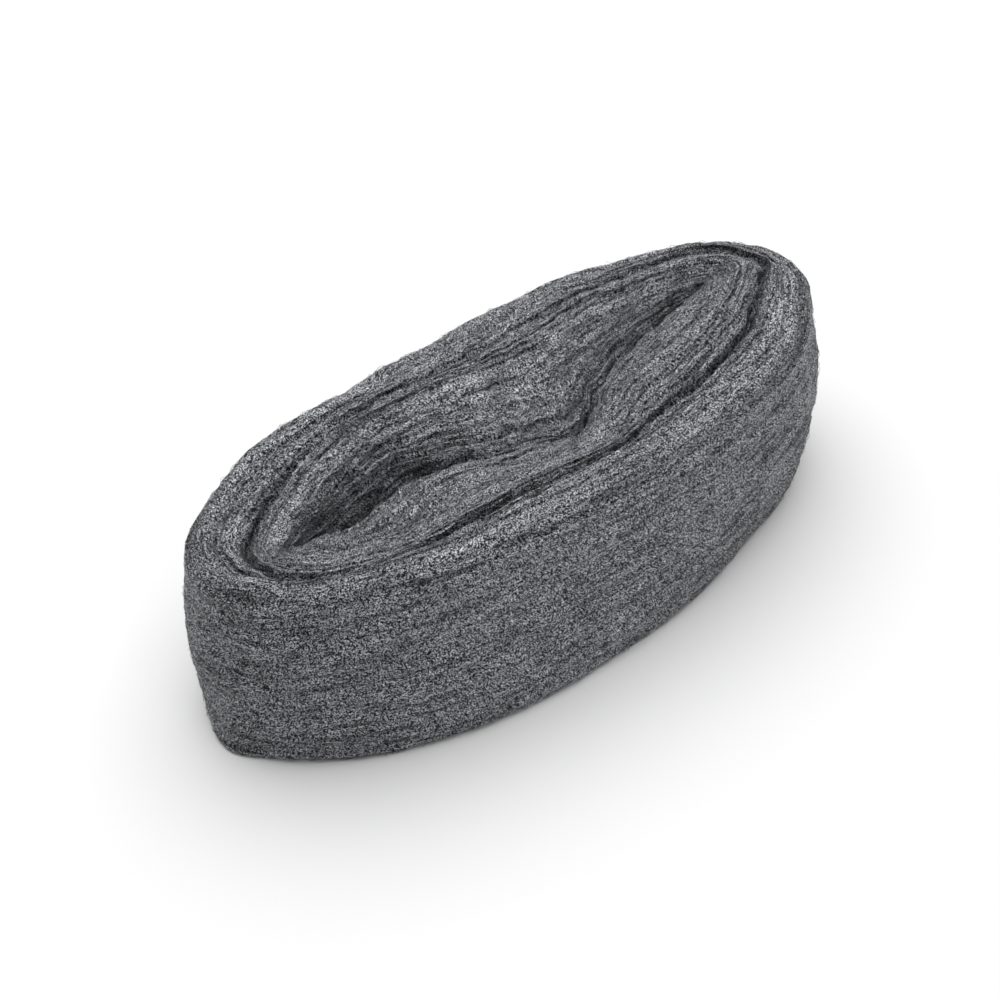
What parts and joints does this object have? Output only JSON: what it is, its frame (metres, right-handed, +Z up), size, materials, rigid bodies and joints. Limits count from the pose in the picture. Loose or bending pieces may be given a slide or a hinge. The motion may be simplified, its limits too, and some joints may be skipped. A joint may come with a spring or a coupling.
{
  "type": "steel wool pad",
  "caption": "Oblong hand pad of steel wool: one wide ribbon wound flat on its edge round a long, pinched slit",
  "frame": {"origin": "middle of the base of the pad's box, on the surface that it rests on", "axes": "+X along the length of the oblong roll, +Y across it, +Z up along the width of the ribbon"},
  "size_m": [0.1214, 0.051, 0.0372],
  "materials": {
    "steel_wool": "fine matted fibres with small bright glints"
  },
  "bodies": {
    "root": {"steel_wool_pad": "steel_wool"}
  },
  "joints": []
}
